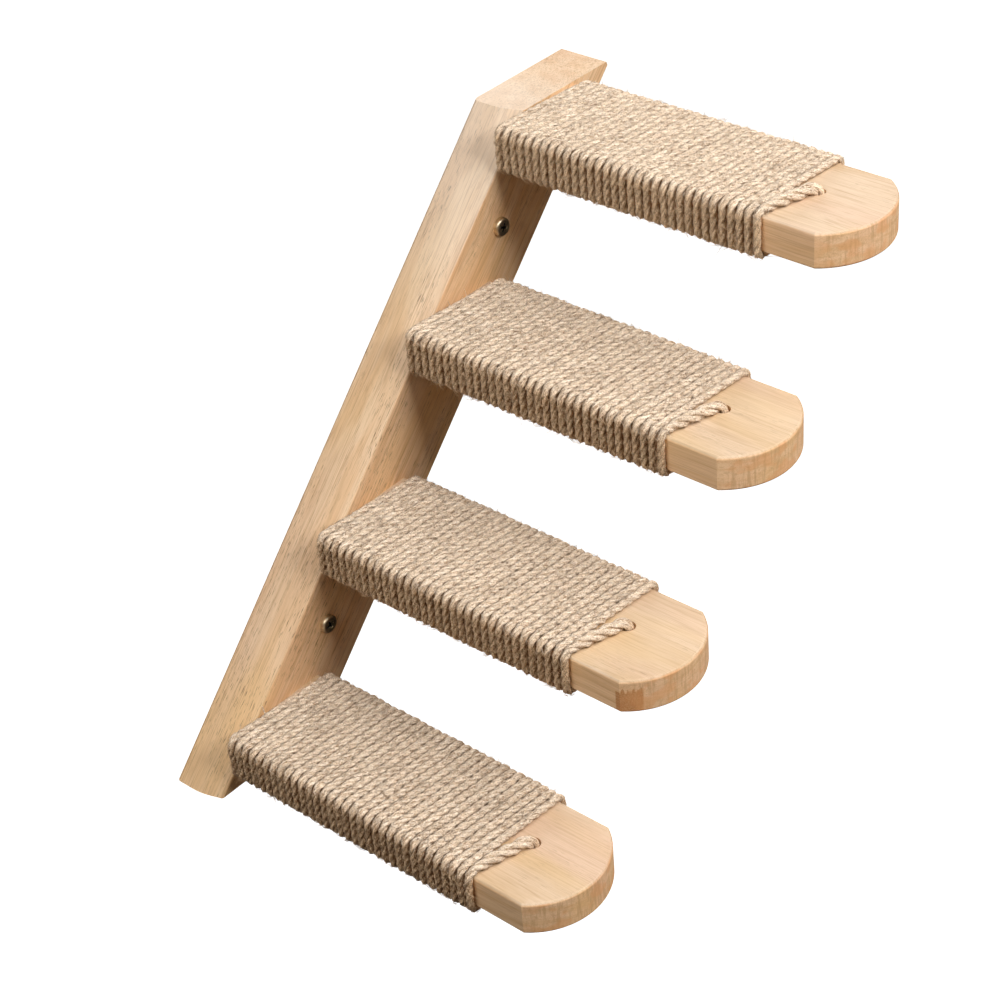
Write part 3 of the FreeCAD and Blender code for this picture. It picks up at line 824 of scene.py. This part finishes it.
# %% Finish of the rope
jute = Finish("jute_rope")
spot = jute.in_millimetres(jute.place())
crown, beside, painted_light = (jute.kept(name) for name in ("crown", "beside", "painted_light"))
along = jute.kept("fibre", Finish.ATTRIBUTE_VECTOR)
yarns = jute.noise(along, (3.2, 0.80, 0.80), 3.0, 0.65)
fluff = jute.noise(along, (2.4, 0.62, 0.62), 2.0, 0.6, shift=(5, 3, 1))
turns = jute.noise(along, (60, 9, 9), 1.0, shift=(0, 0, 8))
patches = jute.noise(spot, (22, 22, 22), 1.0)
tangle = jute.noise(spot, (0.75, 0.75, 0.75), 2.0, 0.7, shift=(0, 6, 2))

# Painted shade: the brown of grooves and gaps, much darker beside and under the plank.
painted_groove_shade = jute.mix(beside, (0.52, 0.37, 0.235), (0.19, 0.095, 0.035))
colour = jute.mix(crown.between(-0.55, 0.75), painted_groove_shade, (0.775, 0.605, 0.44))
colour = jute.mix(yarns.between(0.50, 0.60) * 0.85, colour, (0.25, 0.13, 0.055))
colour = jute.mix(fluff.between(0.52, 0.61) * 0.90, colour, (0.92, 0.79, 0.64))
colour = jute.mix(turns.between(0.45, 0.75) * 0.30, colour, (0.64, 0.49, 0.345))
colour = jute.mix(patches.between(0.40, 0.70) * 0.18, colour, (0.55, 0.42, 0.30))
# Painted shade: more dark fibres beside and under the plank.
dark_fibres = tangle.between(0.52, 0.64) * (0.50 + 0.30 * beside)
colour = jute.mix(dark_fibres, colour, (0.20, 0.10, 0.04))
pale_fibres = (1.0 - tangle.between(0.36, 0.48)) * (0.45 + 0.10 * beside)
colour = jute.mix(pale_fibres, colour, (0.86, 0.73, 0.58))
# Painted light: a rope is made paler beside and under its plank.
colour = jute.mix(painted_light, colour, (0.90, 0.79, 0.66))
# Painted light on the tops; painted shade and warmth beside and under the plank.
painted_light_tint = jute.mix(beside, (1.08, 1.10, 1.12), (1.09, 0.95, 0.76))
colour = jute.mix(1.0, colour, painted_light_tint, "MULTIPLY")
jute_rope = jute.finished(
    colour,
    0.88 + fluff * 0.1,
    height=yarns * 0.5 + fluff * 0.5,
    depth=0.0009,
    Sheen_Weight=0.1,
    Sheen_Roughness=0.6,
    Sheen_Tint=(0.9, 0.8, 0.68, 1.0),
)
print("finish of the rope:", jute_rope.name)

# %% [markdown]
# Now the strands, their end caps and the hairs become one mesh for each plank. Every rope has its
# own random numbers, so no two windings are copies of each other. The two highest get the most
# painted light beside and under their planks, so they are the palest there.

# %% Wind a rope round each plank
# Painted light: how much paler each rope is made beside and under its plank.
PAINTED_LIGHT_BY_STEP = (0.0, 0.03, 0.09, 0.28)
SEED = 70


def shape_of_the_rope(step):
    """Corners and faces of one rope, and what its finish reads at the corners."""
    random = np.random.default_rng(SEED + step)
    middle, outward, tail = path_of_the_rope(random)
    corners, faces, crowns, fibres = twisted_strands(middle, outward, tail, random)
    faces, rings = faces.tolist(), len(middle)
    beside = np.tile(1 - np.maximum(outward[:, 2], 0), STRANDS * CORNERS)
    for strand in range(STRANDS):
        first = (strand * CORNERS + np.arange(CORNERS)) * rings
        faces += [first[::-1].tolist(), (first + rings - 1).tolist()]
    for kind in (FLUFF, HAIRS):
        new_corners, new_faces = grown_from_the_rope(kind, middle, outward, random)
        faces += [[len(corners) + corner for corner in face] for face in new_faces]
        corners = np.vstack([corners, new_corners])
        crowns = np.concatenate([crowns, random.uniform(0.4, 1.2, len(new_corners))])
        fibres = np.vstack([fibres, new_corners])
        beside = np.concatenate([beside, new_corners[:, 2] < PLANK_THICKNESS])
    # Painted light: the paleness is set beside and under the plank.
    numbers = {"crown": crowns, "beside": beside, "painted_light": PAINTED_LIGHT_BY_STEP[step - 1] * beside}
    return corners, faces, fibres, numbers


def wind_a_rope(step):
    """One rope as a mesh, in place on its plank."""
    corners, faces, fibres, numbers = shape_of_the_rope(step)
    low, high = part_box(f"step_plank_{step}")
    places = corners * MM + np.array([low.x, high.y, low.z])
    mesh = bpy.data.meshes.new(f"jute_winding_{step}")
    mesh.from_pydata(places.tolist(), [], faces)
    kept = mesh.attributes.new("fibre", "FLOAT_VECTOR", "POINT")
    kept.data.foreach_set("vector", fibres.ravel())
    for name, values in numbers.items():
        kept = mesh.attributes.new(name, "FLOAT", "POINT")
        kept.data.foreach_set("value", values)
    mesh.polygons.foreach_set("use_smooth", [True] * len(mesh.polygons))
    mesh.materials.append(jute_rope)
    piece = bpy.data.objects.new(f"jute_winding_{step}", mesh)
    bpy.context.scene.collection.objects.link(piece)
    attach(piece, "root")
    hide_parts(f"rope_winding_{step}")
    return piece


windings = [wind_a_rope(step) for step in STEPS]
triangles = sum(len(face.vertices) - 2 for face in windings[0].data.polygons)
print("triangles of a winding:", triangles)

# %% [markdown]
# ## Screws
#
# Two screws with wide round heads go through the board into the wall. Each plank is held by
# two countersunk screws that come from behind. All ten are made in the same three moves: a
# head, a shank that is drawn out of it, and a thread, which is a small triangle wound round
# the shank by the Screw modifier. The cross in the head is cut by two tapered bars. Each kind
# is made once, standing upright with its head's top at zero, and then copied into place.
#
# The head begins as a cylinder. Its underside is shrunk to the seat, an inset draws the
# shank's circle on it, and two extrusions pull the shank and its point out of that circle. A
# bevel then rounds the rim of the head.

# %% Head and shank
HEAD_SIDES, RIM_STEPS = 40, 6
POINT_SHARE = 0.08
LEAST_RIM = 0.05 * MM


def pick_faces(piece, wanted):
    """Selects in edit mode the faces that pass a test."""
    select_nothing()
    bpy.context.view_layer.objects.active = piece
    piece.select_set(True)
    for face in piece.data.polygons:
        face.select = wanted(face)
    for edge in piece.data.edges:
        edge.select = False
    for corner in piece.data.vertices:
        corner.select = False
    bpy.ops.object.mode_set(mode="EDIT")
    bpy.ops.mesh.select_mode(type="FACE")


def head_and_shank(size):
    """A cylinder for the head, with the shank and its point drawn out of its underside."""
    select_nothing()
    middle = (0, 0, -size["height"] / 2)
    bpy.ops.mesh.primitive_cylinder_add(
        vertices=HEAD_SIDES, radius=size["head"], depth=size["height"], location=middle
    )
    piece = bpy.context.object
    bpy.ops.object.transform_apply()
    pick_faces(piece, lambda face: face.normal.z < -0.9)
    bpy.ops.transform.resize(value=(size["seat_share"], size["seat_share"], 1))
    rim = size["head"] * size["seat_share"] - size["core"]
    bpy.ops.mesh.inset(thickness=max(rim, LEAST_RIM))
    shank = size["length"] - size["height"] - size["point"]
    for drop in (shank, size["point"]):
        bpy.ops.mesh.extrude_region_move(TRANSFORM_OT_translate={"value": (0, 0, -drop)})
    bpy.ops.transform.resize(value=(POINT_SHARE, POINT_SHARE, 1))
    bpy.ops.object.mode_set(mode="OBJECT")
    pick_faces(piece, lambda face: face.normal.z > 0.9)
    bpy.ops.mesh.bevel(offset=size["dome"], segments=RIM_STEPS, affect="EDGES")
    bpy.ops.object.mode_set(mode="OBJECT")
    return piece


print("sides of a screw's head:", HEAD_SIDES)

# %% [markdown]
# The Screw modifier turns a triangle round the axis and lifts it by the pitch on every turn.
# The ridge that this leaves is thinned where the point begins, closed at both ends, and
# joined to the screw.

# %% Thread
STEPS_PER_TURN = 18
RIDGE_SUNK, RIDGE_HALF = 0.2 * MM, 0.3
THINNEST = 0.1


def add_a_thread(piece, size):
    """Winds a triangle round the shank and thins it where the point begins."""
    select_nothing()
    turns = int((size["length"] - size["plain"]) / size["pitch"])
    tip = -size["length"] + 0.5 * size["pitch"]
    bpy.ops.mesh.primitive_circle_add(vertices=3, radius=size["thread"])
    ridge = bpy.context.object
    foot = size["core"] - RIDGE_SUNK
    shape = ((foot, -RIDGE_HALF), (size["thread"], 0.0), (foot, RIDGE_HALF))
    for corner, (reach, rise) in zip(ridge.data.vertices, shape):
        corner.co = (reach, 0, tip + rise * size["pitch"])
    winding = ridge.modifiers.new("winding", "SCREW")
    winding.steps = winding.render_steps = STEPS_PER_TURN
    winding.iterations = turns
    winding.screw_offset = size["pitch"]
    bpy.ops.object.modifier_apply(modifier="winding")
    for corner in ridge.data.vertices:
        share = (corner.co.z + size["length"]) / size["point"]
        thinned = min(1, THINNEST + 0.9 * share)
        corner.co.x, corner.co.y = (c * thinned for c in corner.co.xy)
    bpy.ops.object.mode_set(mode="EDIT")
    bpy.ops.mesh.select_all(action="SELECT")
    bpy.ops.mesh.remove_doubles(threshold=0.001 * MM)
    bpy.ops.mesh.fill_holes(sides=4)
    bpy.ops.mesh.normals_make_consistent(inside=False)
    bpy.ops.object.mode_set(mode="OBJECT")
    piece.select_set(True)
    bpy.context.view_layer.objects.active = piece
    bpy.ops.object.join()


print("steps in one turn of a thread:", STEPS_PER_TURN)

# %% [markdown]
# The driver bites in a cross. Two bars are taken away from the head with the Boolean
# modifier, one square to the other. Each grows narrower as it goes down, as a driver's tip
# does.

# %% Cross in the head
BAR_TAPER = 0.45


def cut_a_cross(piece, size):
    """Cuts two bars out of the head that grow narrower as they go down."""
    for turn in (0, math.pi / 2):
        select_nothing()
        bpy.ops.mesh.primitive_cube_add(size=1, location=(0, 0, 0))
        bar = bpy.context.object
        bar.scale = (size["cross"], size["cross_width"], 2 * size["cross_depth"])
        bar.rotation_euler.z = turn
        bpy.ops.object.transform_apply()
        pick_faces(bar, lambda face: face.normal.z < -0.9)
        bpy.ops.transform.resize(value=(BAR_TAPER, BAR_TAPER, 1))
        bpy.ops.object.mode_set(mode="OBJECT")
        cut = piece.modifiers.new("cut", "BOOLEAN")
        cut.operation, cut.solver, cut.object = "DIFFERENCE", "EXACT", bar
        select_nothing()
        bpy.context.view_layer.objects.active = piece
        piece.select_set(True)
        bpy.ops.object.modifier_apply(modifier="cut")
        bpy.data.objects.remove(bar)


print("a bar's underside is", BAR_TAPER, "of the size of its top")

# %% [markdown]
# Both kinds go through the same moves and differ only in their numbers, which are in
# millimetres. The seat share says how far the head's underside is drawn in: not at all under
# the wall screws' flat seat, and by more than half on the countersunk ones.

# %% One screw of each kind
WALL_SCREW = {
    "head": 5.3, "height": 3.0, "seat_share": 1.0, "dome": 1.25, "core": 1.75, "thread": 2.5,
    "length": 53.0, "plain": 20.0, "point": 5.0, "pitch": 2.2,
    "cross": 7.0, "cross_width": 2.0, "cross_depth": 2.6,
}
STEP_SCREW = {
    "head": 4.0, "height": 2.4, "seat_share": 0.45, "dome": 0.15, "core": 1.35, "thread": 2.0,
    "length": 59.7, "plain": 28.0, "point": 6.0, "pitch": 1.8,
    "cross": 4.4, "cross_width": 1.1, "cross_depth": 1.8,
}
SMOOTH_BELOW = math.radians(35)


def make_a_screw(name, numbers, finish):
    """One upright screw. All its numbers but the share become metres."""
    size = {key: value if key == "seat_share" else value * MM for key, value in numbers.items()}
    piece = head_and_shank(size)
    cut_a_cross(piece, size)
    add_a_thread(piece, size)
    piece.name = piece.data.name = name
    piece.data.materials.append(finish)
    bpy.ops.object.shade_smooth_by_angle(angle=SMOOTH_BELOW)
    print(name, "has", len(piece.data.polygons), "faces")
    return piece


print("lengths in mm: wall screw", WALL_SCREW["length"], "and step screw", STEP_SCREW["length"])

# %% [markdown]
# The wall screws are yellow plated and the planks' own screws are bright zinc. Both are
# rolled and tumbled, so they shine unevenly: a fine noise changes the roughness, and a second
# one clouds the colour a little, as handled plating looks.
#
# A mask darkens the cross of a wall screw to near black: what lies near the head's axis and
# behind its face. The two wall screws lie evenly about the middle of the object, so the mask
# leaves out the signs of x and z and finds both.

# %% Finish of the screws
# Near-black tone laid into the cross recess of the wall screws.
RECESS_NEAR_BLACK = (0.02, 0.016, 0.012)


def plated_metal(name, bright, dull, recess=None):
    """Worn plating: two tones of a metal, an uneven shine and perhaps a near-black recess."""
    made = Finish(name)
    spot = made.in_millimetres(made.place())
    clouds = made.noise(spot, (2.4, 2.4, 2.4), 2.0)
    scratches = made.noise(spot, (0.15, 0.9, 0.15), 2.0)
    colour = made.mix(clouds.between(0.35, 0.65), bright, dull)
    if recess:
        middle, reach = recess
        unsigned = {"operation": "ABSOLUTE"}
        x, z = (made.node("Math", unsigned, {0: made.axis(spot, letter)}) for letter in "XZ")
        x, z = x - middle.x, z - middle.z
        within = 1.0 - (x * x + z * z).between((reach - 0.3) ** 2, reach**2)
        deep = made.axis(spot, "Y").between(middle.y + 0.1, middle.y + 0.7)
        # The cross recess of a wall screw is made near black.
        colour = made.mix(within * deep, colour, RECESS_NEAR_BLACK)
    roughness = 0.26 + clouds * 0.14 + scratches * 0.1
    return made.finished(colour, roughness, scratches, 0.00003, Metallic=1.0)


RECESS_REACH = 3.9
low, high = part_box("wall_screw_upper")
head_middle = Vector((low.x + high.x, 2 * low.y, low.z + high.z)) / (2 * MM)
wall_screw_metal = plated_metal(
    "wall_screw_metal", (0.80, 0.68, 0.48), (0.58, 0.46, 0.30), recess=(head_middle, RECESS_REACH)
)
step_screw_metal = plated_metal("step_screw_metal", (0.66, 0.65, 0.62), (0.50, 0.49, 0.47))
print("finishes of the screws:", wall_screw_metal.name, "and", step_screw_metal.name)

# %% [markdown]
# Each upright screw is copied to where the packed model has its screw. The copy's mesh is laid
# level and moved there, and its object stays at the origin, so that the mask for the near-black
# recess counts from the same zero. The cross is turned differently on each wall screw, and from
# plank to plank, because nobody stops a driver at the same angle.

# %% Set each screw in place
LOWER_TURN, UPPER_TURN, STEP_TURN = 0.3, 1.2, 0.37
upright = {
    "wall": make_a_screw("upright_wall_screw", WALL_SCREW, wall_screw_metal),
    "step": make_a_screw("upright_step_screw", STEP_SCREW, step_screw_metal),
}


def set_a_screw(name, node, kind, turn):
    """A copy of an upright screw, laid level with its head where the node has its own."""
    low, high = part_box(node)
    head_y = low.y if kind == "wall" else high.y
    way = math.pi / 2 if kind == "wall" else -math.pi / 2
    place = Matrix.Translation(((low.x + high.x) / 2, head_y, (low.z + high.z) / 2))
    mesh = upright[kind].data.copy()
    mesh.transform(place @ Matrix.Rotation(way, 4, "X") @ Matrix.Rotation(turn, 4, "Z"))
    piece = bpy.data.objects.new(name, mesh)
    bpy.context.scene.collection.objects.link(piece)
    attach(piece, "root")
    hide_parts(node)


set_a_screw("pan_screw_lower", "wall_screw_lower", "wall", LOWER_TURN)
set_a_screw("pan_screw_upper", "wall_screw_upper", "wall", UPPER_TURN)
for step in STEPS:
    for side in ("left", "right"):
        name, node = f"countersunk_{step}_{side}", f"step_screw_{step}_{side}"
        set_a_screw(name, node, "step", STEP_TURN * step)
for start in upright.values():
    bpy.data.objects.remove(start)
select_nothing()

# %% [markdown] ## Finish  The dressed object has to stay as large as the packed one.

# %% Compare the sizes and finish
dressed_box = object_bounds()
boxes = {"cad": [list(c) for c in solid_box], "visual": [list(c) for c in dressed_box]}
grown = [1000 * (boxes["visual"][i][k] - boxes["cad"][i][k]) for i in (0, 1) for k in (0, 1, 2)]
print("box grown by, in mm:", [round(value, 2) for value in grown])
